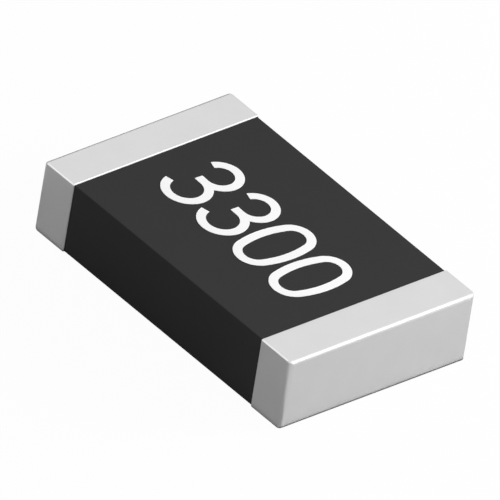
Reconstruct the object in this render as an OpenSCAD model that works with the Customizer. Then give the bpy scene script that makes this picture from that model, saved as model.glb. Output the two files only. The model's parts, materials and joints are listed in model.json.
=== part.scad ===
// Thick-film chip resistor in the metric 2012 case.
// Length along X, width along Y, height along Z. The solder faces lie on Z = 0.
// All sizes are in millimetres.

/* [Case] */
// Length over the terminations
chip_length = 2.00; // [1.60:0.05:3.20]
// Width over the terminations
chip_width = 1.24; // [0.80:0.01:1.60]
// Height over the terminations
chip_height = 0.430; // [0.360:0.005:0.600]
// Radius of the body's edges around each end face, before plating
end_radius = 0.021; // [0.010:0.001:0.022]
// Radius of the body's long edges under the terminations, before plating
edge_radius = 0.003; // [0.001:0.001:0.008]

/* [Terminations] */
// Length of the metal band on the top, bottom and long sides
band_length = 0.24; // [0.18:0.01:0.36]
// Thickness of the tin plating
tin_thickness = 0.004; // [0.003:0.001:0.008]
// Thickness of the nickel barrier
nickel_thickness = 0.003; // [0.002:0.001:0.006]
// Thickness of the dipped silver on the end faces
silver_end = 0.012; // [0.008:0.001:0.020]
// Thickness of the dipped silver below the back electrodes
silver_bottom = 0.004; // [0.003:0.001:0.008]
// Share of a plating's height that its rim rounds off
rim_round = 0.8; // [0.5:0.05:0.9]

/* [Electrodes] */
// Thickness of the printed top electrodes
electrode_thickness = 0.007; // [0.005:0.001:0.012]
// Bare ceramic between an electrode and the long edges
electrode_margin = 0.08; // [0.05:0.01:0.12]
// Thickness of the printed back electrodes
back_electrode_thickness = 0.006; // [0.004:0.001:0.010]
// How far a back electrode stays inside the silver's rim
back_electrode_tuck = 0.02; // [0.01:0.005:0.05]
// Length of the sloping ends that a printed layer dries with
print_slope = 0.012; // [0.006:0.002:0.016]

/* [Resistor film] */
// Thickness of the resistor film
film_thickness = 0.007; // [0.005:0.001:0.012]
// How far the film laps over each top electrode
film_overlap = 0.08; // [0.05:0.01:0.12]
// How far each long edge of the film lies inside the electrodes
film_step = 0.04; // [0.02:0.01:0.10]

/* [Laser trim] */
// Width of the trim cut
trim_width = 0.04; // [0.025:0.005:0.06]
// Where the trim cut enters the film, from the middle of the chip
trim_entry = -0.20; // [-0.30:0.05:-0.05]
// How far the trim cut runs in from the film's edge
trim_plunge = 0.34; // [0.15:0.01:0.40]
// How far the trim cut then runs along the chip
trim_run = 0.36; // [0.10:0.02:0.50]

/* [Glass and coat] */
// Thickness of the glass over the film
glass_thickness = 0.005; // [0.004:0.001:0.010]
// How far the glass runs past the film all round
glass_margin = 0.03; // [0.02:0.01:0.06]
// Length of electrode that the coat seals between the glass and the silver
coat_seal = 0.04; // [0.02:0.01:0.10]
// Thickness of the coat over the highest glass
coat_cover = 0.013; // [0.008:0.001:0.025]
// Thickness of the coat on the long sides
coat_side = 0.012; // [0.008:0.001:0.025]
// Radius of the coat's long top edges
coat_radius = 0.006; // [0.003:0.001:0.012]
// Width of the coat's lap under the ceramic along each long side
lap_width = 0.05; // [0.03:0.01:0.10]

/* [Hidden] */
$fn = 48;

left = [1, 0, 0];
right = [0, 0, 0];
past = 0.1; // how far a cutting block runs past what it cuts

// Coated body and its silver ends, before plating
plating = nickel_thickness + tin_thickness;
body_end = chip_length / 2 - plating;
body_side = chip_width / 2 - plating;
body_bottom = plating;
body_top = chip_height - plating;
silver_rim = chip_length / 2 - band_length + plating;

// Ceramic, once the layers on it have had their share of the height
stack = electrode_thickness + film_thickness + glass_thickness;
ceramic_end = body_end - silver_end;
ceramic_side = body_side - coat_side;
ceramic_bottom = body_bottom + silver_bottom + back_electrode_thickness;
ceramic_top = body_top - coat_cover - stack;

// Ends and sides of the printed layers, from the rim inwards
glass_end = silver_rim - coat_seal;
film_end = glass_end - glass_margin;
electrode_tip = film_end - film_overlap;
electrode_side = ceramic_side - electrode_margin;
film_side = electrode_side - film_step;
glass_side = film_side + glass_margin;
bare_side = ceramic_side - lap_width;

// Line along the ceramic and up onto the electrode, as [x, height above the ceramic]
electrode_rise = [[electrode_tip, 0], [electrode_tip + print_slope, electrode_thickness]];

// Rectangle whose corners have one radius at its low end and another at its high end
module rounded_rectangle(low, high, low_radius, high_radius) {
    translate([low.x + low_radius, low.y])
        square([high.x - high_radius - low.x - low_radius, high.y - low.y]);
    translate([low.x, low.y + low_radius])
        square([low_radius, high.y - low.y - 2 * low_radius]);
    translate([high.x - high_radius, low.y + high_radius])
        square([high_radius, high.y - low.y - 2 * high_radius]);
    for (y = [low.y + low_radius, high.y - low_radius])
        translate([low.x + low_radius, y]) circle(low_radius);
    for (y = [low.y + high_radius, high.y - high_radius])
        translate([high.x - high_radius, y]) circle(high_radius);
}

// Box with rounded edges: low_radius and high_radius around its X ends, long_radius along X
module rounded_box(low, high, low_radius, high_radius, long_radius) {
    intersection() {
        translate([0, 0, low.z - past])
            linear_extrude(high.z - low.z + 2 * past)
                rounded_rectangle([low.x, low.y], [high.x, high.y], low_radius, high_radius);
        along_y(high.y + past)
            rounded_rectangle([low.x, low.z], [high.x, high.z], low_radius, high_radius);
        translate([low.x - past, 0, 0])
            rotate([90, 0, 90])
                linear_extrude(high.x - low.x + 2 * past)
                    rounded_rectangle([low.y, low.z], [high.y, high.z], long_radius, long_radius);
    }
}

// Extrudes an outline drawn in X and Z to both sides of the middle
module along_y(side) {
    rotate([90, 0, 0])
        linear_extrude(2 * side, center = true)
            children();
}

// Extrudes an outline drawn in Z and Y to both ends
module along_x(end) {
    rotate([0, -90, 0])
        linear_extrude(2 * end, center = true)
            children();
}

// Printed layer: half of its outline, drawn outwards, up and back, and the mirrored rest
module printed(half, side) {
    mirrored = [for (i = [len(half) - 1 : -1 : 0]) [-half[i].x, half[i].y]];
    translate([0, 0, ceramic_top])
        along_y(side)
            polygon(concat(half, mirrored));
}

// Body between the rims, as a block: open below, where the ceramic stays bare between the laps
module coated_block() {
    difference() {
        along_x(silver_rim)
            rounded_rectangle([body_bottom, -body_side], [body_top, body_side], edge_radius, coat_radius);
        translate([-silver_rim - past, -bare_side, body_bottom - past])
            cube([2 * (silver_rim + past), 2 * bare_side, ceramic_bottom - body_bottom + past]);
    }
}

// Body past the rim, where the coat ends and the dipped silver starts, as a block
module silvered_block(hand) {
    intersection() {
        rounded_box([-body_end, -body_side, body_bottom], [body_end, body_side, body_top],
            end_radius, end_radius, edge_radius);
        mirror(hand)
            translate([silver_rim, -body_side - past, -past])
                cube([band_length, 2 * (body_side + past), chip_height + 2 * past]);
    }
}

// Outside of the right plating when it has grown by so much on every face
module plated(grow) {
    rounded_box([silver_rim - grow, -body_side - grow, body_bottom - grow],
        [body_end + grow, body_side + grow, body_top + grow],
        rim_round * grow, end_radius + grow, edge_radius + grow);
}

// L-shaped cut that brings the film to its value
module trim_cut() {
    turn = film_side - trim_plunge;
    translate([0, 0, ceramic_top])
        linear_extrude(stack + past) {
            translate([trim_entry - trim_width / 2, turn])
                square([trim_width, trim_plunge + glass_margin + past]);
            translate([trim_entry, turn - trim_width / 2])
                square([trim_run, trim_width]);
            for (x = [trim_entry, trim_entry + trim_run])
                translate([x, turn]) circle(trim_width / 2);
        }
}

// Film before it is trimmed
module printed_film() {
    height = electrode_thickness + film_thickness;
    printed(concat(electrode_rise, [
        [film_end, electrode_thickness],
        [film_end - print_slope, height],
        [electrode_tip + print_slope, height],
        [electrode_tip, film_thickness]
    ]), film_side);
}

module ceramic_substrate() {
    color("whitesmoke")
        translate([-ceramic_end, -ceramic_side, ceramic_bottom])
            cube([2 * ceramic_end, 2 * ceramic_side, ceramic_top - ceramic_bottom]);
}

module top_electrode(hand) {
    color("lightgray")
        mirror(hand)
            translate([0, 0, ceramic_top])
                along_y(electrode_side)
                    polygon(concat(electrode_rise,
                        [[ceramic_end, electrode_thickness], [ceramic_end, 0]]));
}

module back_electrode(hand) {
    inner = silver_rim + back_electrode_tuck;
    color("lightgray")
        mirror(hand)
            translate([inner, -electrode_side, ceramic_bottom - back_electrode_thickness])
                cube([ceramic_end - inner, 2 * electrode_side, back_electrode_thickness]);
}

module resistor_film() {
    color("dimgray")
        difference() {
            printed_film();
            trim_cut();
        }
}

module glass_layer() {
    low = electrode_thickness + glass_thickness;
    color("darkseagreen")
        difference() {
            printed(concat(electrode_rise, [
                [glass_end, electrode_thickness],
                [glass_end - print_slope, low],
                [film_end, low],
                [film_end - print_slope, stack],
                [electrode_tip + print_slope, stack],
                [electrode_tip, film_thickness + glass_thickness]
            ]), glass_side);
            printed_film();
            trim_cut();
        }
}

module protective_coat() {
    color([0.16, 0.16, 0.17])
        difference() {
            coated_block();
            for (hand = [left, right])
                top_electrode(hand);
            ceramic_substrate();
            resistor_film();
            glass_layer();
        }
}

module end_electrode(hand) {
    color("silver")
        difference() {
            silvered_block(hand);
            ceramic_substrate();
            top_electrode(hand);
            back_electrode(hand);
        }
}

module nickel_barrier(hand) {
    color("darkkhaki")
        mirror(hand)
            difference() {
                plated(nickel_thickness);
                silvered_block(right);
                coated_block();
            }
}

module tin_termination(hand) {
    color([0.80, 0.80, 0.80])
        mirror(hand)
            difference() {
                plated(plating);
                plated(nickel_thickness);
                coated_block();
            }
}

ceramic_substrate();
top_electrode(left);  // top_electrode_left
top_electrode(right);  // top_electrode_right
back_electrode(left);  // back_electrode_left
back_electrode(right);  // back_electrode_right
resistor_film();
glass_layer();
protective_coat();
end_electrode(left);  // end_electrode_left
end_electrode(right);  // end_electrode_right
nickel_barrier(left);  // nickel_barrier_left
nickel_barrier(right);  // nickel_barrier_right
tin_termination(left);  // tin_termination_left
tin_termination(right);  // tin_termination_right
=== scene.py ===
import json
import math

import bmesh
import bpy
from mathutils import Matrix, Vector

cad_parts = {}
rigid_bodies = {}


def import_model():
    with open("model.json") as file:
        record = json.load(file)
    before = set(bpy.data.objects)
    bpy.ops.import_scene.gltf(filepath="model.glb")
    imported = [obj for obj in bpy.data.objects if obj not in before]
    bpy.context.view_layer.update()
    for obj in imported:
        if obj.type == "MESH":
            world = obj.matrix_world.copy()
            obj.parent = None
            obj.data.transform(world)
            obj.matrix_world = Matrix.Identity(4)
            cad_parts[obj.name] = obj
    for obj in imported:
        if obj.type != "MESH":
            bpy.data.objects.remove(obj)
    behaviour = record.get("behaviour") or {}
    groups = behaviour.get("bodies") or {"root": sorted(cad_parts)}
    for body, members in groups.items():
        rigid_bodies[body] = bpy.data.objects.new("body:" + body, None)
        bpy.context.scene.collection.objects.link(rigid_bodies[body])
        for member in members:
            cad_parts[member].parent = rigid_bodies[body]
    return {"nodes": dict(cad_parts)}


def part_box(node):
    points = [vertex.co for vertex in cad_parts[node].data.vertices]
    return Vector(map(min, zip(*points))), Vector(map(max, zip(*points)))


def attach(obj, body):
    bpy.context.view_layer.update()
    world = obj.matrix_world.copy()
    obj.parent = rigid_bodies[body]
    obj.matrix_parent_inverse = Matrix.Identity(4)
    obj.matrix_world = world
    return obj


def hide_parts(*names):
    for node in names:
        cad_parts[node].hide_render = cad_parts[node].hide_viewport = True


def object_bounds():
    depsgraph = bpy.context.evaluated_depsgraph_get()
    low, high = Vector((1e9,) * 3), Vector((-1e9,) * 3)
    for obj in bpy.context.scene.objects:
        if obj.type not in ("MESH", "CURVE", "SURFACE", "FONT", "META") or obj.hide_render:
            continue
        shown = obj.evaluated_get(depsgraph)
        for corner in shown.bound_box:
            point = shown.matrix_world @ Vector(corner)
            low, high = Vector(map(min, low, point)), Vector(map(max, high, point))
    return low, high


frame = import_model()
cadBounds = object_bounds()
micron = 1e-6
millimetre = 1e-3
print("chip frame loaded:", len(frame["nodes"]), "nodes")


class Wire:  # a node's output, whose operators add Math nodes
    def __init__(self, graph, socket):
        self.graph = graph
        self.socket = socket

    def math(self, operation, first, second):
        return self.graph.add("ShaderNodeMath", {"operation": operation}, {0: first, 1: second})

    def __add__(self, other):
        return self.math("ADD", self, other)

    def __sub__(self, other):
        return self.math("SUBTRACT", self, other)

    def __rsub__(self, other):
        return self.math("SUBTRACT", other, self)

    def __mul__(self, other):
        return self.math("MULTIPLY", self, other)

    __radd__ = __add__
    __rmul__ = __mul__


class Graph:  # the nodes of one material, or of the world
    def __init__(self, owner):
        owner.use_nodes = True
        self.tree = owner.node_tree
        self.tree.nodes.clear()

    def add(self, kind, settings=None, inputs=None, output=0):
        node = self.tree.nodes.new(kind)
        for key, value in (settings or {}).items():
            setattr(node, key, value)
        for key, value in (inputs or {}).items():
            if isinstance(value, Wire):
                self.tree.links.new(value.socket, node.inputs[key])
            else:
                node.inputs[key].default_value = value
        return Wire(self, node.outputs[output]) if node.outputs else node

    def millimetres(self):  # object coordinates, counted in millimetres
        place = self.add("ShaderNodeTexCoord", output="Object")
        scaled = {0: place, 1: (1 / millimetre,) * 3}
        return self.add("ShaderNodeVectorMath", {"operation": "MULTIPLY"}, scaled)

    def noise(self, perMillimetre, detail=2.0, roughness=0.5):  # 0 to 1, about 0.5 on average
        inputs = {"Vector": self.millimetres(), "Scale": perMillimetre, "Detail": detail,
                  "Roughness": roughness}
        return self.add("ShaderNodeTexNoise", {"noise_dimensions": "3D"}, inputs, "Fac")

    def blendColours(self, amount, first, second):
        colours = {"Factor": amount, "A": (*first, 1), "B": (*second, 1)}
        return self.add("ShaderNodeMix", {"data_type": "RGBA"}, colours, "Result")

    def rays(self, name):
        return self.add("ShaderNodeLightPath", output=name)


def makeFinish(name, look):  # surface that drifts between two colours, with a fine grain in relief
    material = bpy.data.materials.new(name)
    graph = Graph(material)
    drift = graph.noise(look["driftPerMm"])
    grain = graph.noise(look["grainPerMm"], detail=3.0)
    roughness = look["roughness"] + (grain - 0.5) * look["roughnessSwing"]
    relief = {"Strength": look["reliefStrength"], "Distance": look["reliefHeight"], "Height": grain}
    surface = {
        "Base Color": graph.blendColours(drift, look["darker"], look["lighter"]),
        "Roughness": roughness,
        "Metallic": look["metallic"],
        "Specular IOR Level": look["specular"],
        "Normal": graph.add("ShaderNodeBump", None, relief),
    }
    shader = graph.add("ShaderNodeBsdfPrincipled", None, surface)
    graph.add("ShaderNodeOutputMaterial", None, {"Surface": shader})
    return material


def grey(value):
    return (value, value, value)


def paint(piece, material):
    piece.data.materials.clear()
    piece.data.materials.append(material)


def selectOnly(piece):
    bpy.ops.object.select_all(action="DESELECT")
    piece.select_set(True)
    bpy.context.view_layer.objects.active = piece


def pickFaces(piece, test):  # edit mode: the faces that pass are the only ones selected
    bpy.ops.mesh.select_mode(type="FACE")
    bpy.ops.mesh.select_all(action="DESELECT")
    mesh = bmesh.from_edit_mesh(piece.data)
    for face in mesh.faces:
        face.select_set(test(face))
    bmesh.update_edit_mesh(piece.data)


def pickEdges(piece, test):
    bpy.ops.mesh.select_mode(type="EDGE")
    bpy.ops.mesh.select_all(action="DESELECT")
    mesh = bmesh.from_edit_mesh(piece.data)
    for edge in mesh.edges:
        edge.select_set(test(edge))
    bmesh.update_edit_mesh(piece.data)


def addBlock(name, low, high):
    bpy.ops.object.select_all(action="DESELECT")
    bpy.ops.mesh.primitive_cube_add(size=1, location=(low + high) / 2, scale=high - low)
    bpy.ops.object.transform_apply(location=True, rotation=True, scale=True)
    block = bpy.context.object
    block.name = name
    return block


def applyModifier(piece, kind, **settings):
    modifier = piece.modifiers.new(kind, kind)
    for key, value in settings.items():
        setattr(modifier, key, value)
    selectOnly(piece)
    bpy.ops.object.modifier_apply(modifier=modifier.name)


def rescale(piece, factor):
    selectOnly(piece)
    piece.scale = (factor, factor, factor)
    bpy.ops.object.transform_apply(location=True, rotation=True, scale=True)


def softenEdges(piece):  # flat faces keep flat shading, only the rounded edges blend
    rescale(piece, 1 / millimetre)  # in metres the faces are too small for the modifier to weigh
    bpy.ops.object.shade_smooth()
    applyModifier(piece, "WEIGHTED_NORMAL", weight=100, keep_sharp=True)
    rescale(piece, millimetre)


# Camera: parallel view down the chip's corner, all three edges foreshortened alike
cameraView = {
    "azimuth": 45.0,
    "elevation": 35.264,
    "roll": 9.41,
    "pixelsPerMm": 195.59,
    "framePixels": 500,
    "chipCentrePixel": (254.63, 260.94),
    "distance": 10 * millimetre,
    "nearest": 0.1 * millimetre,  # nothing closer is drawn, nor anything past the farthest
    "farthest": 1000 * millimetre,
}


def addCamera(view, target):
    azimuth = math.radians(view["azimuth"])
    elevation = math.radians(view["elevation"])
    level = math.cos(elevation)
    back = Vector((math.sin(azimuth) * level, -math.cos(azimuth) * level, math.sin(elevation)))
    flatRight = Vector((math.cos(azimuth), math.sin(azimuth), 0))
    turn = Matrix.Rotation(math.radians(view["roll"]), 3, back)
    right = turn @ flatRight
    up = back.cross(right)
    pixel = millimetre / view["pixelsPerMm"]
    middle = view["framePixels"] / 2
    across = (view["chipCentrePixel"][0] - middle) * pixel
    down = (view["chipCentrePixel"][1] - middle) * pixel
    place = target + back * view["distance"] - right * across + up * down
    bpy.ops.object.camera_add()
    camera = bpy.context.object
    camera.data.type = "ORTHO"
    camera.data.ortho_scale = view["framePixels"] * pixel
    camera.data.clip_start = view["nearest"]
    camera.data.clip_end = view["farthest"]
    camera.matrix_world = Matrix.Translation(place) @ Matrix((right, up, back)).transposed().to_4x4()
    bpy.context.scene.camera = camera


addCamera(cameraView, (cadBounds[0] + cadBounds[1]) / 2)
print("camera placed")

# Studio: white surroundings, a lamp from the right behind, and two panels that only the edges mirror
studio = {
    "ambient": 0.45,  # what the surroundings give to matt surfaces
    "lamps": [
        {"direction": (0.6, 1, 0.4), "distance": 20 * millimetre, "size": 8 * millimetre,
         "irradiance": 5.65, "mirrored": False},
        {"direction": (1, 1, 0.9), "distance": 20 * millimetre, "size": 10 * millimetre,
         "irradiance": 0.48, "mirrored": True},
        {"direction": (-1, -1, 1), "distance": 20 * millimetre, "size": 14 * millimetre,
         "irradiance": 0.25, "mirrored": True},
    ],
    "floorColour": 0.70,
    "floorHalf": 60 * millimetre,
    "floorDrop": 0.5 * micron,
    "glowToEye": 0.97,  # how far the floor is lifted to white where it is looked at
    "glowToMetal": 0.01,  # and where the metal mirrors it
}


def addStudio(look):
    bpy.context.scene.view_settings.view_transform = "Standard"
    world = bpy.data.worlds.new("whiteSurroundings")
    bpy.context.scene.world = world
    graph = Graph(world)
    seen = graph.rays("Is Camera Ray") + graph.rays("Is Glossy Ray") + graph.rays("Is Transmission Ray")
    strength = look["ambient"] + seen * (1 - look["ambient"])
    sky = graph.add("ShaderNodeBackground", None, {"Color": (*grey(1), 1), "Strength": strength})
    graph.add("ShaderNodeOutputWorld", None, {"Surface": sky})

    for lampLook in look["lamps"]:
        towards = Vector(lampLook["direction"]).normalized()
        bpy.ops.object.light_add(type="AREA", location=towards * lampLook["distance"])
        lamp = bpy.context.object
        lamp.data.size = lampLook["size"]
        lamp.data.energy = lampLook["irradiance"] * math.pi * lampLook["distance"] ** 2
        lamp.rotation_euler = towards.to_track_quat("Z", "Y").to_euler()
        lamp.visible_camera = False
        lamp.visible_diffuse = not lampLook["mirrored"]
        lamp.visible_glossy = lampLook["mirrored"]

    bpy.ops.object.select_all(action="DESELECT")
    bpy.ops.mesh.primitive_plane_add(size=2 * look["floorHalf"], location=(0, 0, -look["floorDrop"]))
    floor = bpy.context.object
    floor.name = "floor"
    material = bpy.data.materials.new("paleFloor")
    material.cycles.emission_sampling = "NONE"
    graph = Graph(material)
    glow = graph.rays("Is Camera Ray") * look["glowToEye"]
    mirrored = graph.rays("Is Glossy Ray") + graph.rays("Is Transmission Ray")
    glow = glow + mirrored * look["glowToMetal"]
    matt = graph.add("ShaderNodeBsdfDiffuse", None, {"Color": (*grey(look["floorColour"]), 1)})
    white = graph.add("ShaderNodeEmission", None, {"Color": (*grey(1), 1), "Strength": 1.0})
    surface = graph.add("ShaderNodeMixShader", None, {0: glow, 1: matt, 2: white})
    graph.add("ShaderNodeOutputMaterial", None, {"Surface": surface})
    paint(floor, material)


addStudio(studio)
print("studio lit")

# Grey sheets seen in reflections alone, whose emitted grey is painted shade: painted shadows under and in
# front of the chip and a dark painted reflection behind it, so that the metal's edges stand out from the
# white
paintedShadeSheets = {
    "lying": (-0.4 * micron, -0.2 * micron),  # bottom and top of a painted-shade sheet lying on the floor
    # painted contact shadow under the chip, mirrored by the caps' lower rounded edges as a dark line
    "below": {"colour": 0.15, "margin": 20 * micron},
    # painted floor shadow in front of the right end, in the shadow's grey, mirrored by the right cap's side
    # and near edge
    "inFront": {"colour": 0.315, "leftOfEnd": 0.6 * millimetre, "rightOfEnd": 0.15 * millimetre,
                "gap": 25 * micron, "depth": 0.78 * millimetre},
    # a dark painted reflection standing behind the left end, mirrored by the caps' far top edges as a dark
    # line
    "behindLeft": {"colour": 0.15, "gap": 1.5 * millimetre, "fromNearSide": 0.12 * millimetre,
                   "pastFarSide": 2.28 * millimetre, "height": 0.9 * millimetre, "thickness": 20 * micron},
}


def addPaintedShadeSheet(name, low, high, colour):
    shadeSheet = addBlock(name, Vector(low), Vector(high))
    shadeSheet.visible_camera = False
    shadeSheet.visible_diffuse = False
    shadeSheet.visible_transmission = False
    shadeSheet.visible_shadow = False
    shadeSheetMaterial = bpy.data.materials.new(name + "PaintedShade")
    shadeSheetMaterial.cycles.emission_sampling = "NONE"
    graph = Graph(shadeSheetMaterial)
    # the emitted grey is painted shade, shown in reflections alone
    paintedShade = graph.add("ShaderNodeEmission", None, {"Color": (*grey(colour), 1), "Strength": 1.0})
    graph.add("ShaderNodeOutputMaterial", None, {"Surface": paintedShade})
    paint(shadeSheet, shadeSheetMaterial)


def addPaintedShadeSheets(look):
    chipLow, chipHigh = cadBounds
    bottom, top = look["lying"]
    below = look["below"]
    # painted contact shadow under the chip, seen only in the metal
    addPaintedShadeSheet("paintedContactShadowBelow", (chipLow.x - below["margin"], chipLow.y - below["margin"], bottom),
            (chipHigh.x + below["margin"], chipHigh.y + below["margin"], top), below["colour"])
    front = look["inFront"]
    # painted floor shadow in front of the right end, seen only in the metal
    addPaintedShadeSheet("paintedShadowInFront", (chipHigh.x - front["leftOfEnd"], chipLow.y - front["depth"], bottom),
            (chipHigh.x + front["rightOfEnd"], chipLow.y - front["gap"], top), front["colour"])
    # a dark painted reflection standing behind the left end, seen only in the metal
    behind = look["behindLeft"]
    face = chipLow.x - behind["gap"]
    addPaintedShadeSheet("paintedDarkReflectionBehindLeft", (face - behind["thickness"], chipLow.y + behind["fromNearSide"], chipLow.z),
            (face, chipHigh.y + behind["pastFarSide"], behind["height"]), behind["colour"])


addPaintedShadeSheets(paintedShadeSheets)
print("cards set")

# Tin terminations: plated cups whose lip stands on the coat
tinLook = {
    "darker": grey(0.69),
    "lighter": grey(0.73),
    "driftPerMm": 6.0,
    "grainPerMm": 90.0,
    "roughness": 0.37,
    "roughnessSwing": 0.10,
    "reliefStrength": 0.25,
    "reliefHeight": 0.4 * micron,
    "metallic": 1.0,
    "specular": 0.5,
}
tinCap = {
    "endRadius": 28 * micron,
    "longRadius": 10 * micron,
    "edgeSteps": 10,
    "lipRound": 0.95,  # share of the lip's height that is rounded off
    "lipProfile": 0.32,  # between a chamfer at 0.25 and a quarter circle at 0.5
    "lipSteps": 6,
}


def addTinCap(shape):
    tinLow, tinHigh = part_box("tin_termination_right")
    nickelLow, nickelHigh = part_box("nickel_barrier_right")
    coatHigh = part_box("protective_coat")[1]
    lipHeight = tinHigh.z - coatHigh.z
    lipLength = nickelLow.x - tinLow.x
    wall = tinHigh.z - nickelHigh.z
    middle = (tinLow + tinHigh) / 2
    near = 0.5 * micron
    along = 0.9  # least part of a normal on the axis that it points along
    across = 0.1  # most part of a normal on an axis that it crosses

    cap = addBlock("tinCapRight", tinLow, tinHigh)
    bpy.ops.object.mode_set(mode="EDIT")
    pickEdges(cap, lambda edge: min(v.co.x for v in edge.verts) > tinHigh.x - near)
    bpy.ops.transform.edge_bevelweight(value=1)
    pickEdges(cap, lambda edge: abs(edge.verts[0].co.x - edge.verts[1].co.x) > near)
    bpy.ops.transform.edge_bevelweight(value=shape["longRadius"] / shape["endRadius"])
    bpy.ops.object.mode_set(mode="OBJECT")
    applyModifier(cap, "BEVEL", width=shape["endRadius"], segments=shape["edgeSteps"], limit_method="WEIGHT")
    bpy.ops.object.mode_set(mode="EDIT")
    pickFaces(cap, lambda face: face.normal.x < -along)
    bpy.ops.mesh.delete(type="FACE")
    bpy.ops.object.mode_set(mode="OBJECT")
    applyModifier(cap, "SOLIDIFY", thickness=lipHeight, offset=-1, use_even_offset=True)

    def isInside(face):
        return face.normal.dot(face.calc_center_median() - middle) < 0

    bpy.ops.object.mode_set(mode="EDIT")
    pickFaces(cap, isInside)
    bpy.ops.mesh.bisect(plane_co=(tinLow.x + lipLength, 0, 0), plane_no=(1, 0, 0))
    pickFaces(cap, lambda face: isInside(face) and face.calc_center_median().x > tinLow.x + lipLength)
    thinned = {"value": wall - lipHeight, "use_even_offset": True}
    bpy.ops.mesh.extrude_region_shrink_fatten(TRANSFORM_OT_shrink_fatten=thinned)

    def isLipEdge(edge):
        return (all(abs(v.co.x - tinLow.x) < near for v in edge.verts)
                and any(abs(face.normal.x) < across and not isInside(face) for face in edge.link_faces))

    pickEdges(cap, isLipEdge)
    bpy.ops.mesh.bevel(offset=shape["lipRound"] * lipHeight, segments=shape["lipSteps"],
                       profile=shape["lipProfile"], affect="EDGES")
    bpy.ops.object.mode_set(mode="OBJECT")
    return cap


def addMirroredCap(cap):
    selectOnly(cap)
    bpy.ops.object.duplicate(linked=False)
    other = bpy.context.object
    other.name = "tinCapLeft"
    other.scale.x = -1
    bpy.ops.object.transform_apply(location=True, rotation=True, scale=True)
    bpy.ops.object.mode_set(mode="EDIT")
    bpy.ops.mesh.select_all(action="SELECT")
    bpy.ops.mesh.normals_make_consistent(inside=False)
    bpy.ops.object.mode_set(mode="OBJECT")
    return other


matteTin = makeFinish("matteTin", tinLook)
rightCap = addTinCap(tinCap)
leftCap = addMirroredCap(rightCap)
for cap, node in ((rightCap, "tin_termination_right"), (leftCap, "tin_termination_left")):
    softenEdges(cap)
    paint(cap, matteTin)
    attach(cap, "root")
    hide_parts(node)
print("tin caps plated")

# Black coat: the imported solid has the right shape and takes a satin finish
coatLook = {
    "darker": grey(0.0235),
    "lighter": grey(0.0265),
    "driftPerMm": 4.0,
    "grainPerMm": 70.0,
    "roughness": 0.60,
    "roughnessSwing": 0.10,
    "reliefStrength": 0.20,
    "reliefHeight": 0.4 * micron,
    "metallic": 0.0,
    "specular": 0.13,
}
paint(frame["nodes"]["protective_coat"], makeFinish("satinBlackCoat", coatLook))
print("coat finished")

# Value code: a plain four-digit resistance in white ink
inkLook = {
    "darker": grey(0.95),
    "lighter": grey(0.98),
    "driftPerMm": 8.0,
    "grainPerMm": 60.0,
    "roughness": 0.55,
    "roughnessSwing": 0.10,
    "reliefStrength": 0.20,
    "reliefHeight": 0.4 * micron,
    "metallic": 0.0,
    "specular": 0.4,
}
valueCode = {  # drawn in millimetres and degrees
    "digits": "3300",
    "digitWidth": 0.277,
    "digitHeight": 0.482,
    "pitch": 0.303,  # from one digit to the next
    "stroke": 0.050,
    "zeroEndRadius": 0.097,
    "waistBar": 0.05,
    "bowlSweep": 255,
    "degreesPerStep": 5,
    "thickness": 0.002,
    "sunk": 0.0005,
    "centre": (0.002, -0.025),
    "turn": -1.9,
}


class Pen:  # a flat nib: an edge that is extruded and spun along a stroke
    def __init__(self, sheet, width, degreesPerStep):
        self.sheet = sheet
        self.width = width
        self.near = width / 100
        self.degreesPerStep = degreesPerStep

    def ahead(self):
        return Vector((math.cos(self.heading), math.sin(self.heading), 0))

    def leftward(self):
        return Vector((-math.sin(self.heading), math.cos(self.heading), 0))

    def start(self, place, degrees):  # the front edge of a square becomes the nib
        self.place = Vector(place)
        self.heading = math.radians(degrees)
        middle = self.place - self.ahead() * self.width / 2
        rear = self.place - self.ahead() * self.width

        def isRearEdge(edge):
            first, second = edge.verts
            return ((first.co + second.co) / 2 - rear).length < self.near

        bpy.ops.mesh.primitive_plane_add(size=self.width, location=middle, rotation=(0, 0, self.heading))
        pickEdges(self.sheet, isRearEdge)
        bpy.ops.mesh.delete(type="VERT")
        pickEdges(self.sheet, lambda edge: edge.is_wire)

    def straight(self, length):
        step = self.ahead() * length
        bpy.ops.mesh.extrude_region_move(TRANSFORM_OT_translate={"value": step})
        self.place += step

    def turn(self, radius, degrees):  # to the left, or to the right where the degrees are negative
        reach = math.copysign(radius, degrees)
        centre = self.place + self.leftward() * reach
        steps = math.ceil(abs(degrees) / self.degreesPerStep)
        bpy.ops.mesh.spin(steps=steps, angle=-math.radians(degrees), center=centre, axis=(0, 0, 1))
        self.heading += math.radians(degrees)
        self.place = centre - self.leftward() * reach

    def close(self):
        bpy.ops.mesh.select_linked()
        bpy.ops.mesh.remove_doubles(threshold=self.near)


def drawZero(pen, middle, across, tall, shape):  # an oval of four arcs
    end = shape["zeroEndRadius"]
    side = (across ** 2 + tall ** 2 - 2 * tall * end) / (2 * (across - end))
    sideTurn = 2 * math.degrees(math.asin((tall - end) / (side - end)))
    endTurn = 180 - sideTurn
    pen.start(middle + Vector((across, 0, 0)), 90)
    pen.turn(side, sideTurn / 2)
    pen.turn(end, endTurn)
    pen.turn(side, sideTurn)
    pen.turn(end, endTurn)
    pen.turn(side, sideTurn / 2)
    pen.close()


def drawThree(pen, middle, across, tall, shape):  # two round bowls that leave from one bar
    waist = middle + Vector((0, 2 * across - tall, 0))
    upperBowl = (tall - across, shape["bowlSweep"], shape["waistBar"])
    lowerBowl = (across, -shape["bowlSweep"], shape["waistBar"] / 2)
    for radius, sweep, bar in (upperBowl, lowerBowl):
        pen.start(waist - Vector((bar, 0, 0)), 0)
        pen.straight(bar)
        pen.turn(radius, sweep)


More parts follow.
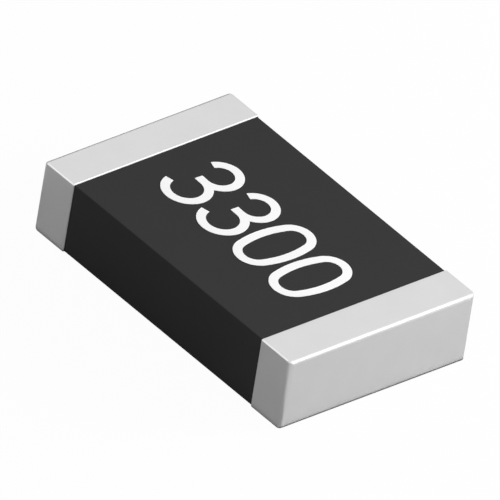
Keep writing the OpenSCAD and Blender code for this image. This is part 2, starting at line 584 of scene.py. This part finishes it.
def addValueCode(shape):
    drawDigit = {"0": drawZero, "3": drawThree}
    across = (shape["digitWidth"] - shape["stroke"]) / 2
    tall = (shape["digitHeight"] - shape["stroke"]) / 2
    firstPlace = -shape["pitch"] * (len(shape["digits"]) - 1) / 2
    bpy.ops.object.select_all(action="DESELECT")
    bpy.ops.object.add(type="MESH", enter_editmode=True)
    code = bpy.context.object
    code.name = "valueCode"
    pen = Pen(code, shape["stroke"], shape["degreesPerStep"])
    for i, digit in enumerate(shape["digits"]):
        middle = Vector((firstPlace + i * shape["pitch"], 0, 0))
        drawDigit[digit](pen, middle, across, tall, shape)
    bpy.ops.object.mode_set(mode="OBJECT")
    inkHeight = shape["thickness"] + shape["sunk"]
    applyModifier(code, "SOLIDIFY", thickness=inkHeight, offset=0)
    bpy.ops.object.mode_set(mode="EDIT")
    bpy.ops.mesh.select_all(action="SELECT")
    bpy.ops.mesh.intersect_boolean(operation="UNION", use_self=True, solver="EXACT")
    bpy.ops.object.mode_set(mode="OBJECT")
    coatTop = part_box("protective_coat")[1].z
    lift = coatTop + (inkHeight / 2 - shape["sunk"]) * millimetre
    code.location = (shape["centre"][0] * millimetre, shape["centre"][1] * millimetre, lift)
    code.rotation_euler.z = math.radians(shape["turn"])
    code.scale = (millimetre, millimetre, millimetre)
    bpy.ops.object.transform_apply(location=True, rotation=True, scale=True)
    return code


code = addValueCode(valueCode)
paint(code, makeFinish("whiteInk", inkLook))
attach(code, "root")
print("value code printed")

# What lies under the coat and the tin
innerFinish = {  # what all these layers share
    "shade": 0.94,  # the darker of a layer's two colours, as a part of the lighter
    "driftPerMm": 6.0,
    "roughnessSwing": 0.10,
    "reliefStrength": 0.20,
    "reliefHeight": 0.4 * micron,
    "specular": 0.5,
}
innerLooks = {
    "alumina": {"nodes": ["ceramic_substrate"], "colour": (0.86, 0.85, 0.81), "roughness": 0.6,
                "metallic": 0.0, "grainPerMm": 60.0},
    "printedSilver": {"nodes": ["top_electrode_left", "top_electrode_right", "back_electrode_left",
                                "back_electrode_right"],
                      "colour": (0.78, 0.77, 0.74), "roughness": 0.5, "metallic": 1.0,
                      "grainPerMm": 80.0},
    "resistorPaste": {"nodes": ["resistor_film"], "colour": (0.05, 0.05, 0.055), "roughness": 0.6,
                      "metallic": 0.0, "grainPerMm": 70.0},
    "glaze": {"nodes": ["glass_layer"], "colour": (0.22, 0.36, 0.30), "roughness": 0.2,
              "metallic": 0.0, "grainPerMm": 20.0},
    "dippedSilver": {"nodes": ["end_electrode_left", "end_electrode_right"],
                     "colour": (0.66, 0.65, 0.63), "roughness": 0.6, "metallic": 1.0,
                     "grainPerMm": 60.0},
    "nickel": {"nodes": ["nickel_barrier_left", "nickel_barrier_right"],
               "colour": (0.60, 0.57, 0.50), "roughness": 0.4, "metallic": 1.0,
               "grainPerMm": 90.0},
}


def finishInner(name, look):
    darker = tuple(innerFinish["shade"] * part for part in look["colour"])
    material = makeFinish(name, {**innerFinish, **look, "darker": darker, "lighter": look["colour"]})
    for node in look["nodes"]:
        paint(frame["nodes"][node], material)


for name, look in innerLooks.items():
    finishInner(name, look)
print("inner layers finished")
